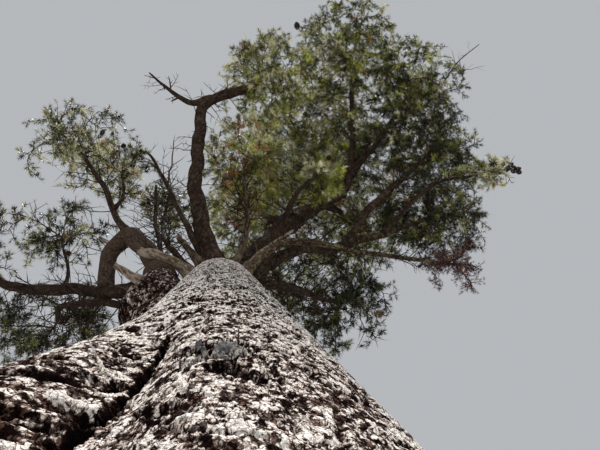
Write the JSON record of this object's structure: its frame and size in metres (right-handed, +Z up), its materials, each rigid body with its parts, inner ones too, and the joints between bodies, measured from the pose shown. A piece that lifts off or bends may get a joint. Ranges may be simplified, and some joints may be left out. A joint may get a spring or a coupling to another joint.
{
  "type": "pine tree",
  "caption": "Old open-grown pine: a stout furrowed trunk with a fused side stem, contorted boughs, dead snags and a broad uneven crown of needle sprays, rooted in the ground.",
  "frame": {"origin": "centre of the trunk's flat cut at ground level", "axes": "+Z up the trunk, -Y towards the side of the bole that the picture shows, +X to that view's right"},
  "size_m": [9.0415, 8.0673, 15.0699],
  "materials": {
    "bark": "rough, flaking grey-brown bark in small plates, pinkish where plates have shed",
    "limb_bark": "dull grey-brown bark with patches of yellow-green lichen",
    "dead_wood": "weathered bare wood, dull",
    "needles": "soft waxy needles, olive to yellow-green, on brown twigs"
  },
  "bodies": {
    "root": {"trunk": "bark", "leader": "limb_bark", "front_bough": "limb_bark", "front_top_bough": "limb_bark", "front_right_bough": "limb_bark", "mid_right_bough": "limb_bark", "upright_bough": "limb_bark", "right_bough": "limb_bark", "right_side_bough": "limb_bark", "right_tip_bough": "limb_bark", "low_right_bough": "limb_bark", "back_right_bough": "limb_bark", "middle_bough": "limb_bark", "centre_bough": "limb_bark", "inner_bough": "limb_bark", "upper_back_bough": "limb_bark", "back_bough": "limb_bark", "back_left_bough": "limb_bark", "left_stem": "limb_bark", "left_bough": "limb_bark", "swan_bough": "limb_bark", "left_upright_bough": "limb_bark", "left_mid_bough": "limb_bark", "left_low_bough": "limb_bark", "left_inner_bough": "limb_bark", "thin_bough": "limb_bark", "dead_front_limb": "dead_wood", "dead_left_limb": "dead_wood", "dead_upright_limb": "dead_wood", "dead_right_twig": "dead_wood", "bright_spur": "dead_wood", "stub_upper": "dead_wood", "stub_lower": "dead_wood", "stub_swan": "dead_wood", "stub_front": "dead_wood", "foliage_crown_top": "needles", "foliage_front_left": "needles", "foliage_upper_front": "needles", "foliage_upper_right": "needles", "foliage_inner_left": "needles", "foliage_right_upper": "needles", "foliage_right_lower": "needles", "foliage_right_tip": "needles", "foliage_right_rusty": "needles", "foliage_back_right": "needles", "foliage_centre_right": "needles", "foliage_middle": "needles", "foliage_centre_low": "needles", "foliage_upper_middle": "needles", "foliage_upper_back": "needles", "foliage_back": "needles", "foliage_back_left": "needles", "foliage_far_left": "needles", "foliage_left_top": "needles", "foliage_left_mid": "needles", "foliage_left_low": "needles", "foliage_left_inner": "needles", "foliage_inner_thin": "needles"}
  },
  "joints": []
}
